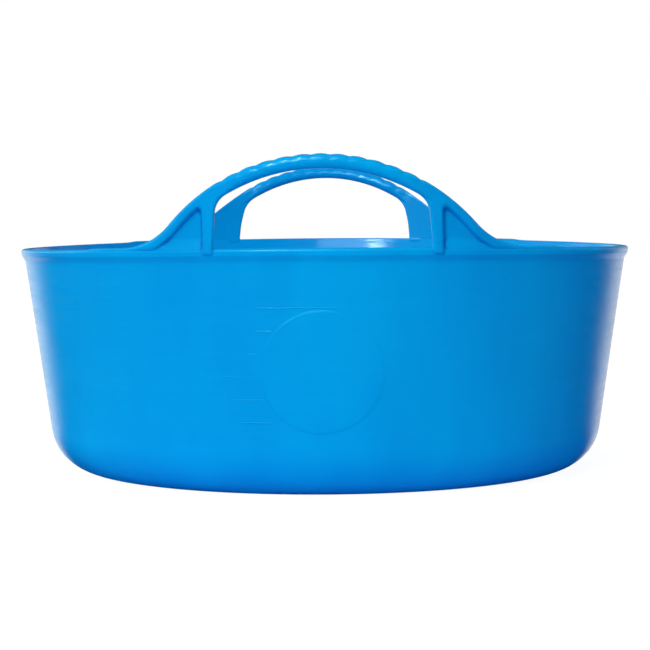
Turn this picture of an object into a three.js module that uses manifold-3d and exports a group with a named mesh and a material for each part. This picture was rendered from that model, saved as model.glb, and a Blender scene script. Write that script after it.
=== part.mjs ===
// Flexible tub: a shallow round bowl with two arched carrying handles, the kind that is
// moulded in soft polyethylene. Millimetres, +Z up. The origin is the middle of the
// standing plane. The front handle is at -Y, and left is -X.

import * as THREE from 'three';
import { mergeVertices } from 'three/addons/utils/BufferGeometryUtils.js';
import Module from 'manifold-3d';

const wasm = await Module();
wasm.setup();

// Bowl
const RIM_DIAMETER = 400; // across the outside of the rim band
const BOWL_HEIGHT = 147; // standing plane to the flat top of the rim
const WALL = 3.2; // thickness of the wall, the base turn and the floor
const WALL_DRAFT = 8.1; // degrees that the wall leans out
const CORNER_RADIUS = 32; // outside of the turn from the wall to the base
const STANDING_WIDTH = 24; // flat ring that the tub stands on, inside the turn
const FLOOR_LIFT = 1.5; // floor's underside above the standing plane

// Rim band
const RIM_FACE = 4.3; // upright outer face
const RIM_STEP = 3.1; // how far the band stands out past the wall, with a 45 degree underside
const RIM_EDGE = 0.9; // rounding of the band's two top edges

// Handle outline, seen from the front
const HANDLE_RISE = 55; // top of the rim to the crown
const ARCH_RADIUS = 121; // top line of the grip and of the upper flanges
const TAIL_RADIUS = 43; // hollow curve that runs a flange down into the rim
const TAIL_TIP = 0.8; // height at which a flange ends on the rim
const GRIP_HEIGHT = 8.5; // grip, top to underside
const OPENING_WIDTH = 126; // hand opening, between the posts at the rim
const OPENING_DRAFT = 5; // degrees that the posts lean in toward each other
const OPENING_CORNER = 13; // rounding between a post and the grip's underside
const POST_WIDTH = 7.8; // post, across its root at the rim
const POST_DRAFT = 9; // degrees that a post's sides narrow toward its front
const FLANGE_WIDTH = 5; // flange, square to its run
const RECESS_CORNER = 2.4; // rounding where a flange meets its post

// Handle depth, from the bowl's inner face outward
const POST_PROUD = 1.4; // how far posts and upper flanges stand out past the rim band
const FOOT_LAP = 2.4; // how far a post's foot reaches down over the rim band
const WEB = 3.2; // web between a post, its flange and the rim
const GRIP_OUTWARD = 2.2; // grip's swell past the posts, outward
const GRIP_INWARD = 5.5; // grip's swell past the bowl's inner face, inward
const SWELL_LENGTH = 30; // run over which the grip swells, from each post
const GRIP_TOP_ROUND = 4.1; // rounding of the grip's top edges, where it has swelled
const GRIP_UNDER_ROUND = 3.4; // rounding of its lower edges
const HANDLE_EDGE = 1.1; // rounding along posts and flanges

// Grip ridges
const RIDGE_PITCH = 10.8; // along the top line
const RIDGE_DEPTH = 0.8; // crest to valley
const RIDGE_REACH = 3.8; // how far down the grip's shoulders the ridges run out
const RIDGE_COUNT = 13;

// Clearances
const SEAT_GAP = 0.3; // between a handle's pieces, and between them and the rim
const FLOOR_GAP = 0.3; // round the floor panel

// Faceting
const TURN_STEPS = 80; // round the bowl
const CORNER_STEPS = 7; // round the turn into the base
const EDGE_STEPS = 3; // round each edge of a handle section
const RIDGE_STEPS = 4; // along each ridge

const POLYETHYLENE = { color: 0x0294dd, roughness: 0.42, metalness: 0 };

// Bowl profile: radii at a height
const draft = THREE.MathUtils.degToRad(WALL_DRAFT);
const rimRadius = RIM_DIAMETER / 2;
const bandBottom = BOWL_HEIGHT - RIM_FACE - RIM_STEP;
const wallOuter = (z) => rimRadius - RIM_STEP + (z - bandBottom) * Math.tan(draft);
const wallInner = (z) => wallOuter(z) - WALL / Math.cos(draft);

// The turn into the base is tangent to the wall and to the standing plane.
const turnCentre = wallOuter(CORNER_RADIUS) - CORNER_RADIUS / Math.cos(draft);
const standingInner = turnCentre - STANDING_WIDTH;

// Handle outline: an arch over the opening that a hollow tail on each side runs into the rim
const archCentreZ = BOWL_HEIGHT + HANDLE_RISE - ARCH_RADIUS;
const tailCentreZ = BOWL_HEIGHT + TAIL_RADIUS;
const tailCentreX = Math.sqrt(
  (ARCH_RADIUS + TAIL_RADIUS) ** 2 - (tailCentreZ - archCentreZ) ** 2,
);
const tailEndX = tailCentreX - Math.sqrt(
  TAIL_RADIUS ** 2 - (TAIL_RADIUS - SEAT_GAP - TAIL_TIP) ** 2,
);

// Height of the line that lies a given inset below the handle's top line, square to it
function bandLine(x, inset) {
  const across = Math.abs(x);
  const joinX = tailCentreX * (ARCH_RADIUS - inset) / (ARCH_RADIUS + TAIL_RADIUS);
  if (across <= joinX) {
    return archCentreZ + Math.sqrt((ARCH_RADIUS - inset) ** 2 - across ** 2);
  }
  return tailCentreZ - Math.sqrt((TAIL_RADIUS + inset) ** 2 - (tailCentreX - across) ** 2);
}

// Hand opening: posts that lean in, a round corner, and the grip's underside
const openingLean = Math.tan(THREE.MathUtils.degToRad(OPENING_DRAFT));
const undersideRadius = ARCH_RADIUS - GRIP_HEIGHT;
const postInner = (z) => OPENING_WIDTH / 2 - (z - BOWL_HEIGHT) * openingLean;
const postOuter = OPENING_WIDTH / 2 + POST_WIDTH;

// The corner's circle touches the underside and ends on the post's inner face, so its centre
// and the height of that end are found together.
function openingCorner() {
  let shoulderZ = BOWL_HEIGHT;
  for (let pass = 0; pass < 20; pass += 1) {
    const centreX = postInner(shoulderZ) - OPENING_CORNER;
    shoulderZ = archCentreZ + Math.sqrt((undersideRadius - OPENING_CORNER) ** 2 - centreX ** 2);
  }
  const centreX = postInner(shoulderZ) - OPENING_CORNER;
  const touchX = centreX * undersideRadius / (undersideRadius - OPENING_CORNER);
  return { centreX, shoulderZ, touchX };
}
const corner = openingCorner();
const shoulderX = postInner(corner.shoulderZ);

function gripUnderside(x) {
  const across = Math.abs(x);
  if (across <= corner.touchX) {
    return archCentreZ + Math.sqrt(undersideRadius ** 2 - across ** 2);
  }
  if (across < shoulderX) {
    return corner.shoulderZ + Math.sqrt(OPENING_CORNER ** 2 - (across - corner.centreX) ** 2);
  }
  return corner.shoulderZ;
}

// Depths are measured outward from the bowl's inner face, which the handle carries on upward.
const rimDepth = rimRadius - wallInner(BOWL_HEIGHT);
const postDepth = rimDepth + POST_PROUD;

function onHandle(x, depth, z) {
  const radius = wallInner(z) + depth;
  return new THREE.Vector3(x, -Math.sqrt(radius ** 2 - x ** 2), z);
}

function closedGeometry(positions, index) {
  const geometry = new THREE.BufferGeometry();
  geometry.setAttribute('position', new THREE.Float32BufferAttribute(positions, 3));
  geometry.setIndex(index);
  return geometry;
}

// A solid turned round the Z axis from a profile of radius and height, which runs up on its
// outer side. A profile that doesn't start on the axis is closed into a ring.
function revolve(profile) {
  const points = profile.map(([radius, z]) => new THREE.Vector2(radius, z));
  if (points[0].x > 0) {
    points.push(points[0].clone());
  }
  const turned = new THREE.LatheGeometry(points, TURN_STEPS);
  turned.deleteAttribute('normal');
  turned.deleteAttribute('uv');
  turned.rotateX(Math.PI / 2);
  return mergeVertices(turned, 1e-3);
}

// A solid skinned over a row of rings with equal counts, with a fan over each end ring
function loft(rings) {
  const count = rings[0].length;
  const positions = rings.flatMap((ring) => ring.flatMap((point) => point.toArray()));
  const index = [];
  for (let row = 0; row + 1 < rings.length; row += 1) {
    for (let i = 0; i < count; i += 1) {
      const next = (i + 1) % count;
      const a = row * count + i;
      const b = row * count + next;
      index.push(a, a + count, b + count, a, b + count, b);
    }
  }
  for (const [row, flip] of [[0, false], [rings.length - 1, true]]) {
    const middle = rings[row].reduce((sum, point) => sum.add(point), new THREE.Vector3());
    middle.divideScalar(count);
    const hub = positions.length / 3;
    positions.push(...middle.toArray());
    for (let i = 0; i < count; i += 1) {
      const next = (i + 1) % count;
      const a = row * count + i;
      const b = row * count + next;
      index.push(hub, flip ? b : a, flip ? a : b);
    }
  }
  return closedGeometry(positions, index);
}

function toSolid(geometry) {
  return new wasm.Manifold(new wasm.Mesh({
    numProp: 3,
    vertProperties: Float32Array.from(geometry.attributes.position.array),
    triVerts: Uint32Array.from(geometry.index.array),
  }));
}

function fromSolid(solid) {
  const mesh = solid.getMesh();
  return closedGeometry(Array.from(mesh.vertProperties), Array.from(mesh.triVerts));
}

// Points round a section with four rounded corners, given as [low, high] on two axes. The
// rounding of a corner is limited by half of the shorter side.
function roundedSection([lowA, highA], [lowB, highB], lowRadius, highRadius) {
  const limit = Math.min(highA - lowA, highB - lowB) * 0.49;
  const low = Math.min(lowRadius, limit);
  const high = Math.min(highRadius, limit);
  const corners = [
    [highA - high, highB - high, high, 0],
    [lowA + high, highB - high, high, 1],
    [lowA + low, lowB + low, low, 2],
    [highA - low, lowB + low, low, 3],
  ];
  return corners.flatMap(([a, b, radius, quarter]) => {
    const arc = [];
    for (let step = 0; step <= EDGE_STEPS; step += 1) {
      const angle = (quarter + step / EDGE_STEPS) * Math.PI / 2;
      arc.push([a + radius * Math.cos(angle), b + radius * Math.sin(angle)]);
    }
    return arc;
  });
}

// Evenly spaced values from start to end, both included
function spread(start, end, steps) {
  return Array.from({ length: steps + 1 }, (_, i) => start + (end - start) * i / steps);
}

const ease = (value) => THREE.MathUtils.smoothstep(value, 0, 1);

// Bowl pieces

function floorPanel() {
  const edge = standingInner - FLOOR_GAP;
  const top = FLOOR_LIFT + WALL;
  return revolve([[0, FLOOR_LIFT], [edge, FLOOR_LIFT], [edge, top], [0, top]]);
}

// Standing ring and the round turn, up to a flat seam that the side wall stands on
function baseTurn() {
  const arc = (radius) => spread(-Math.PI / 2, -draft, CORNER_STEPS).map((angle) => [
    turnCentre + radius * Math.cos(angle),
    CORNER_RADIUS + radius * Math.sin(angle),
  ]);
  return revolve([
    [standingInner, 0],
    ...arc(CORNER_RADIUS),
    [wallOuter(CORNER_RADIUS), CORNER_RADIUS],
    [wallInner(CORNER_RADIUS), CORNER_RADIUS],
    ...arc(CORNER_RADIUS - WALL).reverse(),
    [standingInner, WALL],
  ]);
}

function sideWall() {
  return revolve([
    [wallOuter(CORNER_RADIUS), CORNER_RADIUS],
    [wallOuter(bandBottom), bandBottom],
    [wallInner(bandBottom), bandBottom],
    [wallInner(CORNER_RADIUS), CORNER_RADIUS],
  ]);
}

function rimBand() {
  const edge = (centre, start) => spread(start, start + Math.PI / 2, EDGE_STEPS).map((angle) => [
    centre + RIM_EDGE * Math.cos(angle),
    BOWL_HEIGHT - RIM_EDGE + RIM_EDGE * Math.sin(angle),
  ]);
  return revolve([
    [wallInner(bandBottom), bandBottom],
    [wallOuter(bandBottom), bandBottom],
    [rimRadius, BOWL_HEIGHT - RIM_FACE],
    ...edge(rimRadius - RIM_EDGE, 0),
    ...edge(wallInner(BOWL_HEIGHT) + RIM_EDGE, Math.PI / 2),
  ]);
}

// Handle pieces, made for the front handle. Side is -1 for the piece at -X and 1 at +X.

// How far the grip has swelled at x: nothing at the posts, all of it over the middle
const swell = (x) => ease((postOuter - Math.abs(x)) / SWELL_LENGTH);

// Depth of the ridge pattern below the top line: round crests with sharp valleys between.
// The last valley runs out over one pitch, so that the grip meets the flanges flush.
function ridgeDrop(x) {
  const along = ARCH_RADIUS * Math.asin(x / ARCH_RADIUS) / RIDGE_PITCH;
  const runOut = ease((postOuter - Math.abs(x)) / RIDGE_PITCH);
  if (Math.abs(along) > RIDGE_COUNT / 2) {
    return RIDGE_DEPTH * runOut;
  }
  const phase = RIDGE_COUNT % 2 === 1 ? 0 : 0.5;
  return RIDGE_DEPTH * runOut * (1 - Math.abs(Math.cos(Math.PI * (along + phase))));
}

// Places along the grip: steps of the ridge pattern, and steps round the opening's corners
function gripStations() {
  const endAngle = Math.asin(postOuter / ARCH_RADIUS);
  const stepAngle = RIDGE_PITCH / RIDGE_STEPS / ARCH_RADIUS;
  const stepsPerSide = Math.floor(endAngle / stepAngle);
  const half = spread(0, stepsPerSide * stepAngle, stepsPerSide).map(
    (angle) => ARCH_RADIUS * Math.sin(angle),
  );
  const bend = spread(0.3, 1, 4).map((share) => (
    corner.centreX + OPENING_CORNER * Math.sin(share * Math.PI / 2)
  ));
  const apart = RIDGE_PITCH / RIDGE_STEPS / 3;
  const plain = half.filter((x) => (
    postOuter - x > apart && bend.every((place) => Math.abs(place - x) > apart)
  ));
  const right = [...plain, ...bend, postOuter].sort((a, b) => a - b);
  return [...right.slice(1).reverse().map((x) => -x), ...right];
}

function grip() {
  const rings = gripStations().map((x) => {
    const full = swell(x);
    const low = gripUnderside(x) + (Math.abs(x) >= shoulderX - 1e-6 ? SEAT_GAP : 0);
    const high = bandLine(x, 0);
    const inner = -GRIP_INWARD * full;
    const outer = postDepth + GRIP_OUTWARD * full;
    const lowRadius = THREE.MathUtils.lerp(HANDLE_EDGE, GRIP_UNDER_ROUND, full);
    const highRadius = THREE.MathUtils.lerp(HANDLE_EDGE, GRIP_TOP_ROUND, full);
    return roundedSection([inner, outer], [low, high], lowRadius, highRadius).map(([depth, z]) => {
      const crown = ease(1 - (high - z) / RIDGE_REACH);
      return onHandle(x, depth, z - ridgeDrop(x) * crown);
    });
  });
  return loft(rings);
}

// A post stands on the rim and its foot laps the rim's face. It narrows toward its front.
function post(side, rimClearance) {
  const narrowing = Math.tan(THREE.MathUtils.degToRad(POST_DRAFT));
  const top = corner.shoulderZ;
  const heights = [
    BOWL_HEIGHT - FOOT_LAP,
    BOWL_HEIGHT - FOOT_LAP * 0.6,
    BOWL_HEIGHT + SEAT_GAP,
    (BOWL_HEIGHT + top) / 2,
    top,
  ];
  const rings = heights.map((z) => {
    const below = Math.max(0, (BOWL_HEIGHT - z) / FOOT_LAP);
    const front = postDepth - (POST_PROUD - SEAT_GAP) * 0.6 * below ** 2;
    const section = roundedSection([postInner(z), postOuter], [0, front], 0.2, HANDLE_EDGE);
    return section.map(([x, depth]) => {
      const middle = (postInner(z) + postOuter) / 2;
      const reach = (postOuter - postInner(z)) / 2;
      const share = 1 - depth * narrowing / reach;
      return onHandle(side * (middle + (x - middle) * share), depth, z);
    });
  });
  const solid = toSolid(loft(side > 0 ? rings : rings.reverse()));
  return fromSolid(solid.subtract(rimClearance));
}

// The room that a post's foot leaves round the rim band and the wall under it
function rimClearanceSolid() {
  const inside = wallInner(bandBottom) - GRIP_INWARD - WALL;
  return toSolid(revolve([
    [inside, bandBottom - FOOT_LAP],
    [rimRadius + SEAT_GAP, bandBottom - FOOT_LAP],
    [rimRadius + SEAT_GAP, BOWL_HEIGHT + SEAT_GAP],
    [inside, BOWL_HEIGHT + SEAT_GAP],
  ]));
}

// A flange and its web start one gap past the post, with steps round the recess's corner.
const flangeStartX = postOuter + SEAT_GAP;
const recessCornerXs = spread(flangeStartX, flangeStartX + RECESS_CORNER, 3);

// Underside of a flange: square to its run, rounded into the post, and never below its seat
function flangeUnderside(x) {
  const fromPost = THREE.MathUtils.clamp(Math.abs(x) - flangeStartX, 0, RECESS_CORNER);
  const fillet = RECESS_CORNER - Math.sqrt(RECESS_CORNER ** 2 - (RECESS_CORNER - fromPost) ** 2);
  return Math.max(bandLine(x, FLANGE_WIDTH) - fillet, BOWL_HEIGHT + SEAT_GAP);
}

// A flange follows the handle's top line from the post to the rim. Its front runs from the
// post's front back to the rim band's face.
function flange(side) {
  const run = spread(flangeStartX + RECESS_CORNER, tailEndX, 12);
  const rings = [...recessCornerXs, ...run.slice(1)].map((x) => {
    const along = (x - flangeStartX) / (tailEndX - flangeStartX);
    const front = THREE.MathUtils.lerp(postDepth, rimDepth, ease(along));
    const height = [flangeUnderside(x), bandLine(x, 0)];
    const section = roundedSection([0, front], height, HANDLE_EDGE, HANDLE_EDGE);
    return section.map(([depth, z]) => onHandle(side * x, depth, z));
  });
  return loft(side > 0 ? rings : rings.reverse());
}

// A web fills the corner between a post, its flange and the rim, flush with the inner face.
function web(side) {
  const seat = BOWL_HEIGHT + SEAT_GAP;
  const tip = seat + TAIL_TIP + SEAT_GAP - tailCentreZ;
  const webEndX = tailCentreX - Math.sqrt((TAIL_RADIUS + FLANGE_WIDTH) ** 2 - tip ** 2);
  const run = spread(flangeStartX + RECESS_CORNER, webEndX, 8);
  const rings = [...recessCornerXs, ...run.slice(1)].map((x) => {
    const top = flangeUnderside(x) - SEAT_GAP;
    const section = [[WEB, seat], [WEB, top], [0, top], [0, seat]];
    return section.map(([depth, z]) => onHandle(side * x, depth, z));
  });
  return loft(side > 0 ? rings : rings.reverse());
}

function piece(name, geometry) {
  const mesh = new THREE.Mesh(geometry, new THREE.MeshStandardMaterial(POLYETHYLENE));
  mesh.name = name;
  return mesh;
}

// One handle with its gussets, turned about the tub's axis to its place
function handle(place, turn) {
  const group = new THREE.Group();
  const rimClearance = rimClearanceSolid();
  group.add(piece(`${place}_grip`, grip()));
  for (const side of [-1, 1]) {
    const hand = side * Math.cos(turn) < 0 ? 'left' : 'right';
    group.add(piece(`${place}_${hand}_post`, post(side, rimClearance)));
    group.add(piece(`${place}_${hand}_flange`, flange(side)));
    group.add(piece(`${place}_${hand}_web`, web(side)));
  }
  group.rotation.z = turn;
  return group;
}

const tub = new THREE.Group();
tub.add(piece('floor_panel', floorPanel()));
tub.add(piece('base_turn', baseTurn()));
tub.add(piece('side_wall', sideWall()));
tub.add(piece('rim_band', rimBand()));
tub.add(handle('front', 0));
tub.add(handle('rear', Math.PI));

export default tub;
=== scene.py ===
# %% [markdown]
# A shallow flexible tub: a round bowl of soft blue polyethylene with a banded rim and
# two carrying handles that grow out of the rim. The real tub is one moulding, so the
# lesson is about one skin: broad plain surfaces, small roundings, and no hard seams.
# The CAD frame is loaded first. It stays where it is, and each new piece is built
# around it in the same metres, and the CAD nodes it stands for are then hidden.

# %% Load the CAD frame and bake each part's placing into its mesh
import math

import bpy
import numpy as np
from mathutils import Matrix


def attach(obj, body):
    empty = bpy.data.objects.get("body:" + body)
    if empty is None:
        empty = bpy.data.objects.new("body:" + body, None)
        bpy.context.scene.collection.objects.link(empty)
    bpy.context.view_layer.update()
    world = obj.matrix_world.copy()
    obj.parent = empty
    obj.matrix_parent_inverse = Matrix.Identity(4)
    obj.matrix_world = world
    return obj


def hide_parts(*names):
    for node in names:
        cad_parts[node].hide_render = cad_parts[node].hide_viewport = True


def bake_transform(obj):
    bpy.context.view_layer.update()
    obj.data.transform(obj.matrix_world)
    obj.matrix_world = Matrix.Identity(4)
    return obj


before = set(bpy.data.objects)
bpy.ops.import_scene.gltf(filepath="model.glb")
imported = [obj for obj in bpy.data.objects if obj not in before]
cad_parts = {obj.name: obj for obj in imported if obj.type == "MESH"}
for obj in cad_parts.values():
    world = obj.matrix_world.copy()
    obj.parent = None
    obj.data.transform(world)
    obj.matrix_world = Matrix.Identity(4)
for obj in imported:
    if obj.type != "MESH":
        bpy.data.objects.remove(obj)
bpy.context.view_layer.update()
MM = 0.001

# %% [markdown]
# Node trees are built by script here, so a few small helpers come first. They open a tree
# with named inputs, add nodes to it and close it. The last one puts a finished tree on an
# object, sets its inputs and turns the result into a plain mesh. That is what a library
# part should hold: nothing in it depends on a modifier another program may not know.

# %% Helpers for node trees
SOCKETS = {"Turn Steps": "NodeSocketInt", "Finish": "NodeSocketMaterial"}


def open_tree(name, *labels):
    """An empty node tree with inputs for the geometry, the named numbers and the finish."""
    tree = bpy.data.node_groups.new(name, "GeometryNodeTree")
    tree.interface.new_socket("Geometry", in_out="INPUT", socket_type="NodeSocketGeometry")
    for label in (*labels, "Finish"):
        kind = SOCKETS.get(label, "NodeSocketFloat")
        tree.interface.new_socket(label, in_out="INPUT", socket_type=kind)
    tree.interface.new_socket("Geometry", in_out="OUTPUT", socket_type="NodeSocketGeometry")
    return tree, tree.nodes.new("NodeGroupInput").outputs


def add(tree, kind, settings=(), **inputs):
    """One node: its settings, then its inputs. An input is a plain value, another node's output,
    or another node, which stands for its first output."""
    node = tree.nodes.new(kind)
    for name, value in dict(settings).items():
        setattr(node, name, value)
    for name, value in inputs.items():
        number = name.removeprefix("slot_")
        socket = node.inputs[int(number)] if number.isdigit() else node.inputs[name.replace("_", " ")]
        if isinstance(value, bpy.types.Node):
            value = value.outputs[0]
        if isinstance(value, bpy.types.NodeSocket):
            tree.links.new(value, socket)
        else:
            socket.default_value = value
    return node


def work_out(tree, operation, *values):
    """A Math node."""
    slots = {f"slot_{i}": value for i, value in enumerate(values)}
    return add(tree, "ShaderNodeMath", {"operation": operation}, **slots)


def position_parts(tree):
    """The x, y and z of each point of a geometry."""
    return add(tree, "ShaderNodeSeparateXYZ", Vector=add(tree, "GeometryNodeInputPosition")).outputs


def soft_range(tree, value, start, end, low=0.0, high=1.0):
    """A soft step from low to high while a value runs from start to end."""
    return add(tree, "ShaderNodeMapRange", {"interpolation_type": "SMOOTHSTEP"}, Value=value,
               From_Min=start, From_Max=end, To_Min=low, To_Max=high)


def close_tree(tree, geometry, finish):
    """Realizes any instances, sets the finish, and joins the geometry to the tree's output."""
    real = add(tree, "GeometryNodeRealizeInstances", Geometry=geometry)
    dressed = add(tree, "GeometryNodeSetMaterial", Geometry=real, Material=finish)
    add(tree, "NodeGroupOutput", slot_0=dressed)


def put_on_stage(name, data):
    """A new object in the scene for a mesh, a light or a camera."""
    piece = bpy.data.objects.new(name, data)
    bpy.context.scene.collection.objects.link(piece)
    return piece


def grow(piece, tree, values):
    """Runs a tree on a piece with these input values and keeps the result as its plain mesh."""
    modifier = piece.modifiers.new(tree.name, "NODES")
    modifier.node_group = tree
    for item in tree.interface.items_tree:
        if item.in_out == "INPUT" and item.name in values:
            modifier[item.identifier] = values[item.name]
    bpy.context.view_layer.update()
    evaluated = piece.evaluated_get(bpy.context.evaluated_depsgraph_get())
    made = bpy.data.meshes.new_from_object(evaluated)
    piece.modifiers.clear()
    piece.data = made
    made.name = piece.name
    print(f"{piece.name}: {len(made.vertices)} points, {len(made.polygons)} faces")


# %% [markdown]
# The finish. Flexible tubs are moulded from low-density polyethylene with the colour
# right through it. The skin is satin: it mirrors a pale haze where the wall turns away
# from the eye and very little head on. The mould was turned on a lathe, and its tool
# marks are printed on the wall as faint level streaks. The wall also sways a little,
# because soft plastic moves as it cools. One function makes three finishes from these
# parts: the plain outside, the inside, whose purer blue is painted in for the light that
# bounces about in the bowl, and the handles, which are the smoothest. A handle's points
# carry two marks. On skin turned to the tub's axis the bowl's bounced light is painted in
# as a deeper blue, and in the recess corners shade is painted in as a dark blue. It all
# reads the object's own coordinates, so the finish stays put when the part is moved or reused.

# %% The polyethylene
BLUE = (0.0, 0.347, 0.665, 1.0)
BLUE_DEEP = (0.0, 0.303, 0.625, 1.0)
# The two inside tones have the light that bounces about in the bowl painted in.
BLUE_INSIDE = (0.0, 0.318, 0.690, 1.0)
BLUE_INSIDE_DEEP = (0.0, 0.288, 0.655, 1.0)
# The next tone is painted bounce light from the bowl, for handle skin turned to the tub's axis.
BLUE_PAINTED_BOUNCE = (0.0, 0.283, 0.620, 1.0)
# The next tone is painted shade, laid on the handle's recess corners.
BLUE_PAINTED_CORNER_SHADE = (0.0, 0.12, 0.50, 1.0)
GRAIN_HEIGHT = 0.00001
GRAIN_SCALE = 1400.0
STREAK_SCALE = (3.0, 3.0, 620.0)
CLOUD_SCALE = (17.0, 17.0, 5.0)
CLOUD_LOW, CLOUD_HIGH = 0.35, 0.65
SHEEN_LOW, SHEEN_HIGH = 0.3, 0.7
WALL_SWAY = (11.0, 11.0, 60.0)
INSIDE_SWAY = (26.0, 26.0, 190.0)
REFRACTION = 1.48


def polyethylene(name, tones, sway_scale, sway_height, streak_height, head_on, roughness):
    """Satin polyethylene. Sway and streaks are heights in metres.

    The deep and the plain tone drift into each other. Points marked inward take a deeper blue, which is
    painted bounce light from the bowl. Points marked as corners take a dark blue, which is painted shade.
    The head-on colour tints what the skin mirrors when it is looked at squarely."""
    finish = bpy.data.materials.new(name)
    finish.use_nodes = True
    tree = finish.node_tree
    skin = tree.nodes["Principled BSDF"]
    place = tree.nodes.new("ShaderNodeTexCoord").outputs["Object"]
    level = add(tree, "ShaderNodeMapping", Vector=place, Scale=STREAK_SCALE)
    streaks = add(tree, "ShaderNodeTexNoise", Vector=level, Scale=1.0, Detail=4.0, Roughness=0.65)
    grain = add(tree, "ShaderNodeTexNoise", Vector=place, Scale=GRAIN_SCALE, Detail=2.0)
    long = add(tree, "ShaderNodeMapping", Vector=place, Scale=sway_scale)
    sway = add(tree, "ShaderNodeTexNoise", Vector=long, Scale=1.0, Detail=2.0)
    upright = add(tree, "ShaderNodeMapping", Vector=place, Scale=CLOUD_SCALE)
    cloud = add(tree, "ShaderNodeTexNoise", Vector=upright, Scale=1.0, Detail=3.0)
    drift = add(tree, "ShaderNodeMapRange", Value=cloud, From_Min=CLOUD_LOW, From_Max=CLOUD_HIGH)
    tone = add(tree, "ShaderNodeMix", {"data_type": "RGBA"}, Factor=drift)
    tone.inputs[6].default_value, tone.inputs[7].default_value = tones
    colour = tone.outputs[2]
    # Both marks paint light into the colour: bounce light from the bowl on skin turned to the axis, and
    # shade in the recess corners.
    for mark, marked_tone in (("inward", BLUE_PAINTED_BOUNCE), ("painted_shade", BLUE_PAINTED_CORNER_SHADE)):
        share = add(tree, "ShaderNodeAttribute", {"attribute_name": mark}).outputs["Fac"]
        shaded = add(tree, "ShaderNodeMix", {"data_type": "RGBA"}, slot_0=share, slot_6=colour)
        shaded.inputs[7].default_value = marked_tone
        colour = shaded.outputs[2]
    tree.links.new(colour, skin.inputs["Base Color"])
    sheen = add(tree, "ShaderNodeMapRange", Value=streaks, From_Min=SHEEN_LOW, From_Max=SHEEN_HIGH,
                To_Min=roughness[0], To_Max=roughness[1])
    tree.links.new(sheen.outputs[0], skin.inputs["Roughness"])
    uneven = add(tree, "ShaderNodeBump", Height=sway, Distance=sway_height, Strength=1.0)
    turned = add(tree, "ShaderNodeBump", Height=streaks, Distance=streak_height,
                 Strength=1.0, Normal=uneven)
    grained = add(tree, "ShaderNodeBump", Height=grain, Distance=GRAIN_HEIGHT, Strength=1.0, Normal=turned)
    tree.links.new(grained.outputs[0], skin.inputs["Normal"])
    skin.inputs["IOR"].default_value = REFRACTION
    skin.inputs["Specular Tint"].default_value = head_on
    return finish


bowl_finish = polyethylene(
    "outside polyethylene", (BLUE_DEEP, BLUE), sway_scale=WALL_SWAY, sway_height=0.0007,
    streak_height=0.0001, head_on=(0.15, 0.6, 1.0, 1.0), roughness=(0.16, 0.26))
# The inside finish carries the bowl's bounced light painted into its blue.
inside_finish = polyethylene(
    "inside polyethylene", (BLUE_INSIDE_DEEP, BLUE_INSIDE), sway_scale=INSIDE_SWAY, sway_height=0.0004,
    streak_height=0.00006, head_on=(0.6, 0.85, 1.0, 1.0), roughness=(0.09, 0.18))
handle_finish = polyethylene(
    "handle polyethylene", (BLUE_DEEP, BLUE), sway_scale=WALL_SWAY, sway_height=0.0002,
    streak_height=0.00002, head_on=(0.35, 0.75, 1.0, 1.0), roughness=(0.13, 0.20))
print("finishes:", bowl_finish.name, inside_finish.name, handle_finish.name)

# %% [markdown]
# The bowl is a turned shape, so it only needs half its section: across the floor, up
# the inside, over the rim and back down the outside. The rim is a narrow band that stands
# out from the wall and runs back into it with a soft root. Each corner is given with its
# rounding, as on a drawing. The section is then cut into short steps, with one step
# close to each rounding so that the smooth shading of a long flat isn't pulled by it.

# %% The bowl's half section
RIM_RADIUS = 200.0
BOWL_HEIGHT = 147.0
WALL = 3.2
DRAFT = math.radians(8.1)
CORNER_RADIUS = 32.0
RIM_FACE = 4.3
RIM_STEP = 2.7
RIM_ROUND = 1.8
RIM_INNER_ROUND = 0.9
RIM_UNDER_ROUND = 2.0
RIM_ROOT_ROUND = 6.0
FACE_SHOWN = 4.3
FACE_LEAN = 0.6
ROOT_DROP = 7.8
FLOOR_LIFT = 1.5
FLOOR_ROUND = 3.0
RING_INNER = 125.0
RING_SLOPE = 1.5
RING_ROUND = 0.6
ROUND_STEP = 4.5
ROUND_LEAST = 5
LONGEST_STEP = 9.0
SHORT_STEP = 0.4
BAND_BOTTOM = BOWL_HEIGHT - RIM_FACE - RIM_STEP


def wall_outer(z):
    """Radius of the wall's outside at a height."""
    return RIM_RADIUS - RIM_STEP + (z - BAND_BOTTOM) * math.tan(DRAFT)


def wall_inner(z):
    """Radius of the wall's inside at a height."""
    return wall_outer(z) - WALL / math.cos(DRAFT)


def rounded_section(corners, longest):
    """Points along straight runs and round corners. Each corner is radius, height, rounding.

    A rounding takes a point every ROUND_STEP degrees, and at least ROUND_LEAST steps."""
    points = [np.array(corners[0][:2])]
    for i in range(1, len(corners) - 1):
        here = np.array(corners[i][:2])
        back = np.array(corners[i - 1][:2]) - here
        ahead = np.array(corners[i + 1][:2]) - here
        back /= np.linalg.norm(back)
        ahead /= np.linalg.norm(ahead)
        half = 0.5 * math.acos(float(back @ ahead))
        middle = here + (back + ahead) / np.linalg.norm(back + ahead) * corners[i][2] / math.sin(half)
        start = here + back * corners[i][2] / math.tan(half)
        end = here + ahead * corners[i][2] / math.tan(half)
        turn = math.pi - 2 * half
        side = 1 if back[0] * ahead[1] - back[1] * ahead[0] < 0 else -1
        steps = max(ROUND_LEAST, math.ceil(math.degrees(turn) / ROUND_STEP))
        for k in range(steps + 1):
            angle = side * turn * k / steps
            spoke = start - middle
            turned = (spoke[0] * math.cos(angle) - spoke[1] * math.sin(angle),
                      spoke[0] * math.sin(angle) + spoke[1] * math.cos(angle))
            points.append(middle + np.array(turned))
    points.append(np.array(corners[-1][:2]))
    return with_short_steps(points, longest)


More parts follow.
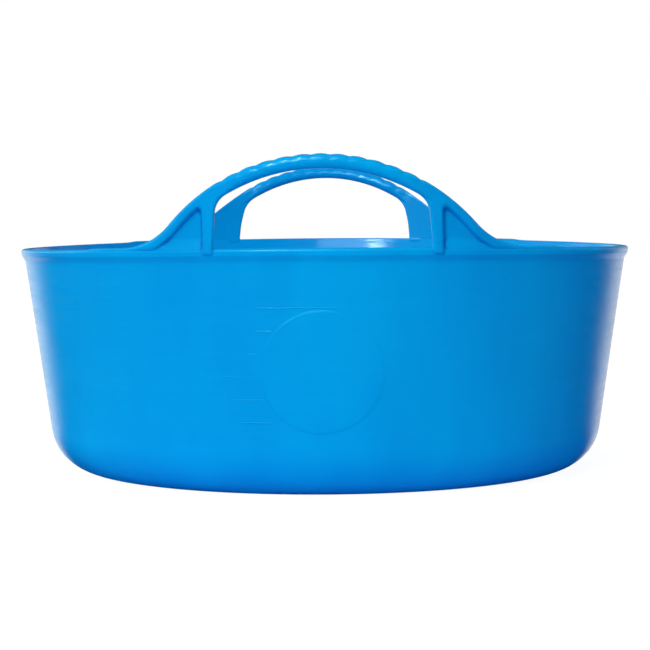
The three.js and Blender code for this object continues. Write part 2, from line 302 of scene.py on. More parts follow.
def with_short_steps(points, longest):
    """The same line with its long runs cut up, and one short step at each end of a run."""
    line = [points[0]]
    for before, after in zip(points, points[1:]):
        run = np.linalg.norm(after - before)
        if run > longest:
            near = SHORT_STEP / run
            shares = [near, *np.linspace(near, 1 - near, math.ceil(run / longest) + 1)[1:]]
            line += [before + (after - before) * share for share in shares]
        line.append(after)
    return np.array(line)


def section_line(name, section):
    """A section as a mesh of bare edges, in metres."""
    mesh = bpy.data.meshes.new(name)
    edges = [(i, i + 1) for i in range(len(section) - 1)]
    mesh.from_pydata([(r * MM, 0.0, z * MM) for r, z in section], edges, [])
    return mesh


bowl_corners = [
    (0.0, FLOOR_LIFT + WALL, 0.0),
    (RING_INNER - RING_SLOPE, FLOOR_LIFT + WALL, FLOOR_ROUND),
    (RING_INNER + RING_SLOPE, WALL, FLOOR_ROUND),
    (wall_inner(WALL), WALL, CORNER_RADIUS - WALL),
    (wall_inner(BOWL_HEIGHT), BOWL_HEIGHT, RIM_INNER_ROUND),
    (RIM_RADIUS, BOWL_HEIGHT, RIM_ROUND),
    (RIM_RADIUS - FACE_LEAN, BOWL_HEIGHT - FACE_SHOWN, RIM_UNDER_ROUND),
    (wall_outer(BOWL_HEIGHT - ROOT_DROP), BOWL_HEIGHT - ROOT_DROP, RIM_ROOT_ROUND),
    (wall_outer(0.0), 0.0, CORNER_RADIUS),
    (RING_INNER + RING_SLOPE, 0.0, RING_ROUND),
    (RING_INNER, FLOOR_LIFT, RING_ROUND),
    (0.0, FLOOR_LIFT, 0.0),
]
bowl_section = rounded_section(bowl_corners, LONGEST_STEP)
print("bowl section:", len(bowl_section), "points")

# %% [markdown]
# Now the section is turned. The tree makes a flat grid, one column for each step of the
# turn and one row for each point of the section, looks up the row's point and swings it
# round by the column's angle. Merging by distance closes the seam and the two poles. A
# turned piece made this way keeps its sizes as inputs, so another bowl is one change away.

# %% The tree that turns a section
TURN_STEPS = 288
MERGE_DISTANCE = 0.000002

turn_tree, given = open_tree("turn a section", "Turn Steps")
rows = add(turn_tree, "GeometryNodeAttributeDomainSize", Geometry=given["Geometry"])
columns = work_out(turn_tree, "ADD", given["Turn Steps"], 1.0)
sheet = add(turn_tree, "GeometryNodeMeshGrid", Vertices_X=columns, Vertices_Y=rows)
number = add(turn_tree, "GeometryNodeInputIndex")
row = work_out(turn_tree, "MODULO", number, rows)
column = work_out(turn_tree, "FLOOR", work_out(turn_tree, "DIVIDE", number, rows))
spot = add(turn_tree, "GeometryNodeInputPosition")
looked_up = add(turn_tree, "GeometryNodeSampleIndex", {"data_type": "FLOAT_VECTOR"},
                Geometry=given["Geometry"], Value=spot, Index=row)
share = work_out(turn_tree, "DIVIDE", column, given["Turn Steps"])
angle = work_out(turn_tree, "MULTIPLY", share, 2 * math.pi)
swung = add(turn_tree, "ShaderNodeVectorRotate", {"rotation_type": "Z_AXIS"}, Vector=looked_up, Angle=angle)
placed = add(turn_tree, "GeometryNodeSetPosition", Geometry=sheet, Position=swung)
joined = add(turn_tree, "GeometryNodeMergeByDistance", Geometry=placed, Distance=MERGE_DISTANCE)
smooth = add(turn_tree, "GeometryNodeSetShadeSmooth", Geometry=joined, Shade_Smooth=True)
close_tree(turn_tree, smooth, given["Finish"])
print("turn tree:", len(turn_tree.nodes), "nodes")

# %% [markdown]
# Soft tubs are never quite true. In the photograph the rim sits a little high at the
# two handles and a little low between them, as a saddle does, because the handles have
# pulled on the soft wall. A second small tree lifts every piece by the same rule, so the
# bowl and the handles that grow from it stay together.

# %% The tree that sets the rim's saddle
SADDLE_LIFT = 1.4
NOT_ZERO = 0.000001

saddle_tree, given = open_tree("saddle rim", "Lift", "Rim Height")
part = position_parts(saddle_tree)
across = work_out(saddle_tree, "MULTIPLY", part[0], part[0])
along = work_out(saddle_tree, "MULTIPLY", part[1], part[1])
spread = work_out(saddle_tree, "MAXIMUM", work_out(saddle_tree, "ADD", across, along), NOT_ZERO)
wave = work_out(saddle_tree, "DIVIDE", work_out(saddle_tree, "SUBTRACT", along, across), spread)
rise = work_out(saddle_tree, "DIVIDE", part[2], given["Rim Height"])
rise = work_out(saddle_tree, "MINIMUM", work_out(saddle_tree, "MULTIPLY", rise, rise), 1.0)
lift = work_out(saddle_tree, "MULTIPLY", work_out(saddle_tree, "MULTIPLY", wave, rise), given["Lift"])
offset = add(saddle_tree, "ShaderNodeCombineXYZ", Z=lift)
moved = add(saddle_tree, "GeometryNodeSetPosition", Geometry=given["Geometry"], Offset=offset)
close_tree(saddle_tree, moved, given["Finish"])


def set_saddle(piece, finish):
    """Lifts a piece by the rim's saddle."""
    grow(piece, saddle_tree, {"Lift": SADDLE_LIFT * MM, "Rim Height": BOWL_HEIGHT * MM, "Finish": finish})


def face_outward(piece):
    """Turns the faces of a closed piece the right way, by the sign of its volume."""
    mesh = piece.data
    mesh.calc_loop_triangles()
    corners = np.array([mesh.vertices[i].co for t in mesh.loop_triangles for i in t.vertices])
    a, b, c = corners.reshape(-1, 3, 3).transpose(1, 0, 2)
    volume = float(np.einsum("ij,ij->i", a, np.cross(b, c)).sum() / 6)
    if volume < 0:
        mesh.flip_normals()
    print(f"{piece.name}: {abs(volume) * 1e6:.1f} cubic centimetres")


# %% [markdown]
# The bowl itself. Its section goes in as a bare line of points, the turn tree makes the
# skin and the saddle tree lifts the rim. Faces that look towards the axis, and the floor,
# get the inside finish, which has the bowl's bounced light painted into its blue.

# %% The bowl
FACES_UP = 0.5
BELOW_RIM = 0.1

bowl = put_on_stage("bowl", section_line("bowl section", bowl_section))
grow(bowl, turn_tree, {"Turn Steps": TURN_STEPS, "Finish": bowl_finish})
set_saddle(bowl, bowl_finish)
face_outward(bowl)
bowl.data.materials.clear()
bowl.data.materials.append(bowl_finish)
bowl.data.materials.append(inside_finish)
for face in bowl.data.polygons:
    toward_axis = face.center.x * face.normal.x + face.center.y * face.normal.y < 0
    on_floor = face.normal.z > FACES_UP and face.center.z < BELOW_RIM
    face.material_index = 1 if toward_axis or on_floor else 0

# %% [markdown]
# On the front of the wall the mould has a low round pad, and level lines beside it that
# mark how full the tub is. The pad is left blank here. It is turned from its own small
# section, then laid on the wall: a point's distance from the pad's middle becomes a place
# on the cone of the wall, and its height stands out from the wall.

# %% The blank pad
PAD_RADIUS = 36.5
PAD_X = -2.0
PAD_Z = 75.4
PAD_RAISE = 0.3
PAD_SLOPE = 1.1
PAD_CROWN_ROUND = 1.5
PAD_FOOT = 0.4
PAD_FOOT_DEPTH = 0.05
PAD_FOOT_ROUND = 0.2
PAD_BURIED = 1.2
PAD_BURIED_ROUND = 0.3
PAD_LONGEST_STEP = 4.0
PAD_TURN_STEPS = 96

pad_corners = [
    (0.0, PAD_RAISE, 0.0),
    (PAD_RADIUS - PAD_SLOPE, PAD_RAISE, PAD_CROWN_ROUND),
    (PAD_RADIUS + PAD_FOOT, -PAD_FOOT_DEPTH, PAD_FOOT_ROUND),
    (PAD_RADIUS + 2 * PAD_FOOT, -PAD_BURIED, PAD_BURIED_ROUND),
    (0.0, -PAD_BURIED, 0.0),
]
pad_section = rounded_section(pad_corners, PAD_LONGEST_STEP)
blank_pad = put_on_stage("blank_pad", section_line("pad section", pad_section))
grow(blank_pad, turn_tree, {"Turn Steps": PAD_TURN_STEPS, "Finish": bowl_finish})
for point in blank_pad.data.vertices:
    x = PAD_X * MM + point.co.x
    z = PAD_Z * MM + point.co.y * math.cos(DRAFT)
    radius = wall_outer(z / MM) * MM + point.co.z / math.cos(DRAFT)
    point.co = (x, -math.sqrt(radius ** 2 - x ** 2), z)
set_saddle(blank_pad, bowl_finish)
face_outward(blank_pad)

# %% [markdown]
# The level lines follow the wall, so a tree lays them: each line starts as one straight
# edge, is cut into short steps, pushed on to the cone of the wall and swept with a small
# round section. Most of the section is buried, and only its crown shows as a fine line.

# %% The level lines
LINE_TOP_Z = 112.9
LINE_PITCH = 13.4
LINE_ENDS = ((-39.3, 6.3), (-40.1, -31.4), (-44.4, -40.0), (-59.3, -50.0), (-54.8, -35.9), (-52.0, -31.4))
LINE_ROUND = 0.45
LINE_PROUD = 0.22
LINE_STEP = 2.0
LINE_SIDES = 12

line_tree, given = open_tree("level lines", "Wall Radius", "Wall Slope", "Line Round", "Line Proud")
paths = add(line_tree, "GeometryNodeMeshToCurve", Mesh=given["Geometry"])
paths = add(line_tree, "GeometryNodeResampleCurve", {"mode": "LENGTH"}, Curve=paths, Length=LINE_STEP * MM)
part = position_parts(line_tree)
cone = work_out(line_tree, "MULTIPLY_ADD", part[2], given["Wall Slope"], given["Wall Radius"])
sunk = work_out(line_tree, "SUBTRACT", given["Line Proud"], given["Line Round"])
cone = work_out(line_tree, "ADD", cone, sunk)
square = work_out(line_tree, "MULTIPLY", part[0], part[0])
ahead = work_out(line_tree, "SUBTRACT", work_out(line_tree, "POWER", cone, 2.0), square)
front = work_out(line_tree, "MULTIPLY", work_out(line_tree, "SQRT", ahead), -1.0)
onto = add(line_tree, "ShaderNodeCombineXYZ", X=part[0], Y=front, Z=part[2])
paths = add(line_tree, "GeometryNodeSetPosition", Geometry=paths, Position=onto)
ring = add(line_tree, "GeometryNodeCurvePrimitiveCircle", Resolution=LINE_SIDES, Radius=given["Line Round"])
swept = add(line_tree, "GeometryNodeCurveToMesh", Curve=paths, Profile_Curve=ring, Fill_Caps=True)
smooth = add(line_tree, "GeometryNodeSetShadeSmooth", Geometry=swept, Shade_Smooth=True)
close_tree(line_tree, smooth, given["Finish"])

line_points = []
for i, ends in enumerate(LINE_ENDS):
    line_points += [(x * MM, 0.0, (LINE_TOP_Z - i * LINE_PITCH) * MM) for x in ends]
line_mesh = bpy.data.meshes.new("level line edges")
line_mesh.from_pydata(line_points, [(2 * i, 2 * i + 1) for i in range(len(LINE_ENDS))], [])
level_lines = put_on_stage("level_lines", line_mesh)
grow(level_lines, line_tree, {
    "Wall Radius": wall_outer(0.0) * MM, "Wall Slope": math.tan(DRAFT), "Line Round": LINE_ROUND * MM,
    "Line Proud": LINE_PROUD * MM, "Finish": bowl_finish})
set_saddle(level_lines, bowl_finish)
face_outward(level_lines)

# %% [markdown]
# The handle is the piece that takes most care. Grip, posts, flanges and webs were all cut
# into one mould, so every inside corner has a small fillet and nothing meets at a hard
# line. A distance field suits that: for any point it says how far the plastic's skin is,
# two shapes join with a soft fillet by one formula, and a cut is the same formula turned
# inside out. The first cell holds those few joining rules.

# %% Joining rules for a distance field
def ease(share):
    """A soft step from 0 to 1."""
    share = np.clip(share, 0.0, 1.0)
    return share * share * (3 - 2 * share)


def with_fillet(a, b, width):
    """Both shapes, with a fillet of about this width where they meet."""
    mix = np.clip(0.5 + 0.5 * (b - a) / width, 0.0, 1.0)
    return b + (a - b) * mix - width * mix * (1 - mix)


def cut_away(a, b, width):
    """The first shape less the second, with its new edges eased."""
    return -with_fillet(-a, b, width)


def common(a, b, rounding):
    """What lies in both shapes, with its outer edge rounded."""
    over = np.hypot(np.maximum(a + rounding, 0.0), np.maximum(b + rounding, 0.0))
    return np.minimum(np.maximum(a, b), -rounding) + over


# %% [markdown]
# The handle's outline is drawn as seen from the front: an arch, a hollow tail that runs
# out on each side into a low lip along the rim, and the hand opening under the arch with
# its two leaning sides. Depth is measured outwards from the inside of the wall, so the
# same drawing wraps round the bowl. The sizes, in millimetres, are close to those of the
# CAD source. They differ where moulded plastic is softer than a drawing.

# %% The handle's outline
HANDLE_RISE = 53.9
ARCH_RADIUS = 121.0
TAIL_RADIUS = 40.0
LIP = 0.8
LIP_SINK = 0.4
LIP_TOP_END = 137.0
LIP_END = 146.0
GRIP_HEIGHT = 8.5
OPENING_HALF = 63.7
OPENING_DRAFT = math.radians(5.0)
OPENING_CORNER = 13.0
OPENING_SPLAY = math.tan(math.radians(1.0))
POST_WIDTH = 6.4
POST_DRAFT = math.tan(math.radians(9.0))
POST_OUTER = OPENING_HALF + POST_WIDTH
ARCH_Z = BOWL_HEIGHT + HANDLE_RISE - ARCH_RADIUS
TAIL_Z = BOWL_HEIGHT + TAIL_RADIUS + LIP
TAIL_X = math.sqrt((ARCH_RADIUS + TAIL_RADIUS) ** 2 - (TAIL_Z - ARCH_Z) ** 2)


def over_top(x, z):
    """Distance above the handle's top line: the arch, the tail, then a low lip along the rim."""
    arch = np.hypot(x, z - ARCH_Z) - ARCH_RADIUS
    tail = TAIL_RADIUS - np.hypot(x - TAIL_X, z - TAIL_Z)
    toward_crown = TAIL_X * (z - ARCH_Z) > (TAIL_Z - ARCH_Z) * x
    line = np.where(toward_crown, arch, tail)
    lip = LIP - (LIP + LIP_SINK) * ease((x - LIP_TOP_END) / (LIP_END - LIP_TOP_END))
    return np.where(x > TAIL_X, z - BOWL_HEIGHT - lip, line)


def in_opening(x, depth, z):
    """Distance from the hand opening: under the grip, between the leaning posts, round at the corners."""
    lean = math.tan(OPENING_DRAFT)
    under_radius = ARCH_RADIUS - GRIP_HEIGHT
    foot = OPENING_HALF + np.maximum(depth, 0.0) * OPENING_SPLAY
    up = z - ARCH_Z
    under_grip = np.hypot(x, up) - under_radius
    past_side = (x - foot + (z - BOWL_HEIGHT) * lean) * math.cos(OPENING_DRAFT)
    reach = foot + (BOWL_HEIGHT - ARCH_Z) * lean - OPENING_CORNER / math.cos(OPENING_DRAFT)
    inner = under_radius - OPENING_CORNER
    square = reach ** 2 * lean ** 2 - (1 + lean ** 2) * (reach ** 2 - inner ** 2)
    corner_up = (reach * lean + np.sqrt(square)) / (1 + lean ** 2)
    corner_x = reach - lean * corner_up
    over_x, over_up = x - corner_x, up - corner_up
    past_post = over_up * math.cos(OPENING_DRAFT) - over_x * math.sin(OPENING_DRAFT) > 0
    past_grip = over_x * corner_up - over_up * corner_x > 0
    corner = np.hypot(over_x, over_up) - OPENING_CORNER
    return np.where(past_post & past_grip, corner, np.maximum(under_grip, past_side))


print(f"tail centre {TAIL_X:.1f} mm out, arch centre {ARCH_Z:.1f} mm up")

# %% [markdown]
# The outline now gets its depth. The posts stand a little proud of the rim, and the
# flanges thin down from there until they are level with it. The web between them is
# pressed back, which leaves the three-cornered recess. Close to the rim the web comes
# forward again, so that it runs into the rim's face without a ledge. The posts' feet lap
# down over that face, and the rim itself is added last with a fillet. Only the skin close
# to the handle is kept, because the bowl already has the rest of the rim.

# %% The handle's body
FLANGE_WIDTH = 4.5
FLANGE_DRAFT = math.tan(math.radians(25.0))
RECESS_CORNER = 3.6
RECESS_ROOT = 0.6
RECESS_EDGE = 1.3
POST_PROUD = 1.4
THIN_SHORT = 8.0
FOOT_LAP = 3.3
WEB_LAP = 0.5
LAP_RUN = 2.0
BACK_SUNK = 0.8
SUNK_BELOW = 1.2
SUNK_RUN = 2.4
FRAME_START = 45.0
WEB = 2.2
WEB_FOOT = 4.2
WEB_RAMP = 6.0
HANDLE_EDGE = 1.1
FRONT_EDGE = 1.9
BACK_EDGE = 0.6
FILLET = 0.8
RIM_DEPTH = RIM_RADIUS - wall_inner(BOWL_HEIGHT)
POST_DEPTH = RIM_DEPTH + POST_PROUD


def frame_field(x, depth, z):
    """Posts, flanges and webs, without the grip."""
    top = over_top(x, z)
    outline = np.maximum(top, -in_opening(x, depth, z))
    thinning = ease((x - POST_OUTER) / (TAIL_X - THIN_SHORT - POST_OUTER))
    front = depth - (POST_DEPTH + (RIM_DEPTH - POST_DEPTH) * thinning)
    sunk = BACK_SUNK * ease((BOWL_HEIGHT - SUNK_BELOW - z) / SUNK_RUN)
    body = common(common(outline, front, FRONT_EDGE), sunk - depth, BACK_EDGE)
    lap = WEB_LAP + (FOOT_LAP - WEB_LAP) * (1 - ease((x - POST_OUTER) / LAP_RUN))
    body = common(body, BOWL_HEIGHT - lap - z, HANDLE_EDGE)
    web = WEB_FOOT + (WEB - WEB_FOOT) * ease((z - BOWL_HEIGHT) / WEB_RAMP)
    beside_post = POST_OUTER - (depth - WEB) * POST_DRAFT - x
    under_flange = top + FLANGE_WIDTH + (POST_DEPTH - depth) * FLANGE_DRAFT
    recess = common(under_flange, beside_post, RECESS_CORNER)
    recess = common(recess, web - depth, RECESS_ROOT)
    body = cut_away(body, recess, RECESS_EDGE)
    body = np.maximum(body, x - LIP_END)
    return np.maximum(body, FRAME_START - x)


# %% [markdown]
# The grip swells towards the middle so that a hand can close on it: it grows outwards a
# little and inwards more, and its section turns from a plain bar into a rounded one. The
# swelling runs out to nothing at the shoulders, where the grip is flush with the posts.

# %% The grip and the whole handle
GRIP_OUTWARD = 2.2
GRIP_INWARD = 5.5
SWELL_LENGTH = 30.0
GRIP_ROUND = 4.1
RIM_KEPT = 0.85 * FILLET


def grip_field(x, depth, z):
    """The swelled bar along the arch."""
    reach = ARCH_RADIUS * np.arctan2(x, z - ARCH_Z)
    end = ARCH_RADIUS * math.asin(POST_OUTER / ARCH_RADIUS)
    swell = ease((end - reach) / SWELL_LENGTH)
    half_depth = (POST_DEPTH + (GRIP_OUTWARD + GRIP_INWARD) * swell) / 2
    middle = (POST_DEPTH + (GRIP_OUTWARD - GRIP_INWARD) * swell) / 2
    rounding = HANDLE_EDGE + (GRIP_ROUND - HANDLE_EDGE) * swell
    up = np.abs(np.hypot(x, z - ARCH_Z) - ARCH_RADIUS + GRIP_HEIGHT / 2) - GRIP_HEIGHT / 2 + rounding
    out = np.abs(depth - middle) - half_depth + rounding
    bar = np.hypot(np.maximum(up, 0.0), np.maximum(out, 0.0)) + np.minimum(np.maximum(up, out), 0.0)
    return np.maximum(bar - rounding, reach - end)


def handle_and_rim(x, depth, z):
    """The handle on its own, and the handle joined to the rim."""
    x = np.abs(x)
    handle = np.minimum(frame_field(x, depth, z), grip_field(x, depth, z))
    rim_face = wall_inner(z) + depth - RIM_RADIUS
    rim = common(common(rim_face, z - BOWL_HEIGHT, RIM_ROUND), -depth, RIM_INNER_ROUND)
    return handle, with_fillet(handle, rim, FILLET)


def handle_field(x, depth, z):
    """The whole handle with the skin of the rim close to it."""
    handle, joined_up = handle_and_rim(x, depth, z)
    return np.maximum(joined_up, handle - RIM_KEPT)


# %% [markdown]
# A net is drawn over the field's zero level. Space is cut into small cells, every cell
# that the skin passes through gets one point, and points of neighbouring cells make the
# faces. The points are then slid along the field's slope until they lie on the skin,
# which takes away the steps of the cells. It is the same idea as Blender's volume
# remeshing, but exact enough for small roundings.

# %% A net over a field's zero level
def net_over(field, low, high, step):
    """Points and four-cornered faces over the zero level of a field inside a box."""
    counts = [math.ceil((b - a) / step) + 1 for a, b in zip(low, high)]
    axes = [a + step * np.arange(n) for a, n in zip(low, counts)]
    value = field(*np.meshgrid(*axes, indexing="ij"))
    inside = value < 0
    cells = [n - 1 for n in counts]
    total = np.zeros((*cells, 3))
    hits = np.zeros(cells)
    for axis in range(3):
        for first in (0, 1):
            for second in (0, 1):
                place = [0, 0, 0]
                place[(axis + 1) % 3] = first
                place[(axis + 2) % 3] = second
                near = tuple(slice(p, p + n) for p, n in zip(place, cells))
                place[axis] = 1
                far = tuple(slice(p, p + n) for p, n in zip(place, cells))
                crossed = inside[near] != inside[far]
                drop = np.where(crossed, value[near] - value[far], 1.0)
                total[..., axis] += np.where(crossed, value[near] / drop, 0.0)
                total[..., (axis + 1) % 3] += crossed * first
                total[..., (axis + 2) % 3] += crossed * second
                hits += crossed
    used = np.argwhere(hits > 0)
    name = np.full(cells, -1)
    name[tuple(used.T)] = np.arange(len(used))
    share = total[tuple(used.T)] / hits[tuple(used.T)][:, None]
    points = np.array(low) + (used + share) * step
    return points, net_faces(inside, name, cells)


def net_faces(inside, name, cells):
    """One face round every grid edge that the skin crosses, facing out."""
    faces = []
    for axis in range(3):
        one, two = (axis + 1) % 3, (axis + 2) % 3
        low = [0, 0, 0]
        low[one] = 1
        low[two] = 1
        near = tuple(slice(a, n) for a, n in zip(low, cells))
        low[axis] = 1
        far = tuple(slice(a, n + (1 if i == axis else 0)) for i, (a, n) in enumerate(zip(low, cells)))
        for leaving in (True, False):
            edge = np.argwhere((inside[near] == leaving) & (inside[far] != leaving))
            edge[:, one] += 1
            edge[:, two] += 1
            ring = []
            for shift_one, shift_two in ((1, 1), (0, 1), (0, 0), (1, 0)):
                cell = edge.copy()
                cell[:, one] -= shift_one
                cell[:, two] -= shift_two
                ring.append(name[tuple(cell.T)])
            faces.append(np.stack(ring if leaving else ring[::-1], axis=1))
    return np.concatenate(faces)


def slide_onto_skin(field, points, step):
    """Moves points along the field's slope until the field is zero there."""
    near = 0.02
    least_slope = 0.2
    for _ in range(SLIDES):
        value = field(*points.T)
        slope = np.empty_like(points)
        for axis in range(3):
            shift = np.zeros(3)
            shift[axis] = near
            slope[:, axis] = (field(*(points + shift).T) - field(*(points - shift).T)) / (2 * near)
        size = np.maximum((slope ** 2).sum(axis=1), least_slope)
        move = slope * (value / size)[:, None]
        points = points - np.clip(move, -step / 2, step / 2)
    return points


# %% [markdown]
# The net is drawn once, in millimetres, with the handle still flat: across the part, out
# from the wall and up. Both handles are wrapped from it later.

# %% Draw the net over one handle
SLIDES = 3
NET_STEP = 0.62
MARGIN = 1.5
NET_LOW = (-LIP_END - 2 * MARGIN, -GRIP_INWARD - MARGIN, BOWL_HEIGHT - FOOT_LAP - 2 * MARGIN)
NET_HIGH = (LIP_END + 2 * MARGIN, POST_DEPTH + GRIP_OUTWARD + MARGIN, BOWL_HEIGHT + HANDLE_RISE + MARGIN)

handle_points, handle_faces = net_over(handle_field, NET_LOW, NET_HIGH, NET_STEP)
handle_points = slide_onto_skin(handle_field, handle_points, NET_STEP)
print("handle net:", len(handle_points), "points,", len(handle_faces), "faces")

# %% [markdown]
# Under the flanges, beside the posts and round their feet the recess lies in shade, and that
# shade is painted into the blue: the skin there gets a darker tone. The field knows those
# places. Its mean over a small ball is nothing on open skin and below nothing in a corner,
# so that mean is kept on each point, and the finish reads it as painted shade.

# %% Where shade is painted into the handle's corners
SHADE_REACH = 2.6
SHADE_FULL = 0.22


def painted_corner_shade(points):
    """How much painted shade each point of the handle takes: 0 on open skin, 1 deep in a corner."""
    total = np.zeros(len(points))
    ways = [(a, b, c) for a in (-1, 0, 1) for b in (-1, 0, 1) for c in (-1, 0, 1) if a or b or c]
    for way in ways:
        shift = np.array(way) / math.hypot(*way) * SHADE_REACH
        total += handle_and_rim(*(points + shift).T)[1]
    return np.clip(-total / len(ways) / SHADE_REACH / SHADE_FULL, 0.0, 1.0)


handle_painted_shade = painted_corner_shade(handle_points)
print(f"thick places: {(handle_painted_shade > 0.5).mean():.1%} of the handle's points")

# %% [markdown]
# The grip carries a row of soft ridges, like knuckles, on its top and shoulders: rounded
# bumps with a sharp valley between them. They repeat along the arch, so a tree makes
# them: it measures how far each point lies along the arch, works out how deep the valley
# is there, and presses the skin straight in by that much. Below the grip's shoulders the
# ridges fade out, where fingers close round it.

# %% The tree that presses the grip's ridges
ridge_tree, given = open_tree("grip ridges", "Arch Radius", "Arch Height", "Ridge Pitch", "Ridge Depth",
                              "Ridge Reach", "Ridge Row Half")
part = position_parts(ridge_tree)
up = work_out(ridge_tree, "SUBTRACT", part[2], given["Arch Height"])
spoke = add(ridge_tree, "ShaderNodeCombineXYZ", X=part[0], Z=up)
reach = add(ridge_tree, "ShaderNodeVectorMath", {"operation": "LENGTH"}, slot_0=spoke).outputs["Value"]
arc = work_out(ridge_tree, "MULTIPLY", work_out(ridge_tree, "ARCTAN2", part[0], up), given["Arch Radius"])
beat = work_out(ridge_tree, "MULTIPLY", work_out(ridge_tree, "DIVIDE", arc, given["Ridge Pitch"]), math.pi)
bump = work_out(ridge_tree, "ABSOLUTE", work_out(ridge_tree, "COSINE", beat))
valley = work_out(ridge_tree, "SUBTRACT", 1.0, bump)
row_left = work_out(ridge_tree, "SUBTRACT", given["Ridge Row Half"], work_out(ridge_tree, "ABSOLUTE", arc))
fade = soft_range(ridge_tree, row_left, 0.0, given["Ridge Pitch"])
below = work_out(ridge_tree, "SUBTRACT", given["Arch Radius"], reach)
crown = soft_range(ridge_tree, below, given["Ridge Reach"], 0.0)
press = work_out(ridge_tree, "MULTIPLY", work_out(ridge_tree, "MULTIPLY", valley, fade), crown)
press = work_out(ridge_tree, "MULTIPLY", press, given["Ridge Depth"])
inward = work_out(ridge_tree, "MULTIPLY", press, -1.0)
outward = add(ridge_tree, "GeometryNodeInputNormal")
offset = add(ridge_tree, "ShaderNodeVectorMath", {"operation": "SCALE"}, slot_0=outward, Scale=inward)
pressed = add(ridge_tree, "GeometryNodeSetPosition", Geometry=given["Geometry"], Offset=offset)
smooth = add(ridge_tree, "GeometryNodeSetShadeSmooth", Geometry=pressed, Shade_Smooth=True)
close_tree(ridge_tree, smooth, given["Finish"])
print("ridge tree:", len(ridge_tree.nodes), "nodes")

# %% [markdown]
# Both handles come from the same net. Its depth is wrapped round the bowl for the front
# handle, and the rear one is the front one turned half way round. Soft handles are never
# quite true, so each gets its own stance: the front one leans a little to the left, the
# rear one to the right with its shoulders drawn in. Then both are lifted by the saddle.
# Last, the skin that faces the tub's axis is marked, so that the finish paints the bowl's bounced light into
# it as a deeper blue.

# %% The two handles
RIDGE_PITCH = 10.8
RIDGE_DEPTH = 0.65
RIDGE_REACH = 6.5
RIDGE_COUNT = 13
SHOULDER_LOW = 8.0
SHOULDER_RUN = 26.0
INWARD_FROM = 0.3
INWARD_RUN = 0.5


def wrapped(points, side):
    """Handle points as metres in the frame. Side is -1 for the front handle and 1 for the rear."""
    x, depth, z = points.T
    y = np.sqrt((wall_inner(z) + depth) ** 2 - x ** 2)
    return np.stack([-side * x, side * y, z], axis=1) * MM


def set_stance(piece, slide, lean, narrower):
    """Slides a handle along the rim, leans it sideways and draws its shoulders in with height."""
    piece.data.transform(Matrix.Rotation(math.asin(slide / RIM_RADIUS), 4, "Z"))
    for point in piece.data.vertices:
        height = point.co.z / MM - BOWL_HEIGHT
        drawn_in = narrower * float(ease((height - SHOULDER_LOW) / SHOULDER_RUN))
        aside = lean * max(height, 0.0) / HANDLE_RISE
        point.co.x = point.co.x * (1 - drawn_in) + aside * MM


def mark_inward(piece):
    """Marks how far the skin at each point is turned to the tub's axis, where the finish paints in the
    bowl's bounced light.
    """
    mesh = piece.data
    places = np.array([point.co for point in mesh.vertices])
    outward = np.array([point.normal for point in mesh.vertices])
    spokes = places[:, :2] / np.linalg.norm(places[:, :2], axis=1)[:, None]
    towards_axis = -(outward[:, :2] * spokes).sum(axis=1)
    inward = ease((towards_axis - INWARD_FROM) / INWARD_RUN)
    mesh.attributes.new("inward", "FLOAT", "POINT").data.foreach_set("value", inward)


def make_handle(end, side, **stance):
    """One handle: net, ridges, stance and saddle."""
    mesh = bpy.data.meshes.new(f"{end} handle net")
    mesh.from_pydata(wrapped(handle_points, side).tolist(), [], handle_faces[:, ::-1].tolist())
    # Painted shade for the recess corners rides on each point of the handle.
    mesh.attributes.new("painted_shade", "FLOAT", "POINT").data.foreach_set("value", handle_painted_shade)
    piece = put_on_stage(f"{end}_carrying_handle", mesh)
    grow(piece, ridge_tree, {
        "Arch Radius": ARCH_RADIUS * MM, "Arch Height": ARCH_Z * MM, "Ridge Pitch": RIDGE_PITCH * MM,
        "Ridge Depth": RIDGE_DEPTH * MM, "Ridge Reach": RIDGE_REACH * MM,
        "Ridge Row Half": RIDGE_PITCH * RIDGE_COUNT / 2 * MM, "Finish": handle_finish})
    set_stance(piece, **stance)
    set_saddle(piece, handle_finish)
    face_outward(piece)
    mark_inward(piece)
    return piece


front_handle = make_handle("front", -1, slide=-0.9, lean=-1.2, narrower=0.0)
rear_handle = make_handle("rear", 1, slide=0.0, lean=1.0, narrower=0.045)

# %% [markdown]
# The bowl and its marks are tied to the tub. For each handle the foot and the top of a
# bend line are worked out: the foot just under the rim at the posts, the top about a
# centimetre higher on a line that slants outwards. Nothing here uses them yet: each
# handle's placing is baked into its mesh. The CAD parts that the pieces stand for are hidden.

# %% Tie the bowl's pieces to the frame and hide the CAD parts
POST_REACH = 188.0
LEAN_LOW = BOWL_HEIGHT - 3.0
LEAN_LENGTH = 12.1
LEAN_TILT = math.radians(30.0)

for piece in (bowl, blank_pad, level_lines):
    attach(piece, "tub")
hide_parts("floor_panel", "base_turn", "side_wall", "rim_band")
for piece, end, side in ((front_handle, "front", -1), (rear_handle, "rear", 1)):
    foot = (0.0, side * POST_REACH * MM, LEAN_LOW * MM)
    top = (0.0, foot[1] + side * LEAN_LENGTH * math.sin(LEAN_TILT) * MM,
           foot[2] + LEAN_LENGTH * math.cos(LEAN_TILT) * MM)
    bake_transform(piece)
    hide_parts(f"{end}_grip", f"{end}_left_post", f"{end}_right_post")
    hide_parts(f"{end}_left_flange", f"{end}_right_flange", f"{end}_left_web", f"{end}_right_web")
print("tied to the frame:", bowl.name, front_handle.name, rear_handle.name)

# %% [markdown]
# The stage is a white studio. To the camera the floor and the room are plain white, and
# the floor keeps a soft shadow. What the tub mirrors is graded: the floor glows only
# behind the tub to the left and right, which gives the pale haze along both edges of the
# wall. Straight behind and high up it is dim, so the thin edges of the handles stay blue.
# Close to the tub the floor glows blue, a painted stand-in for the light it would bounce,
# and that glow lights the round turn at the base.

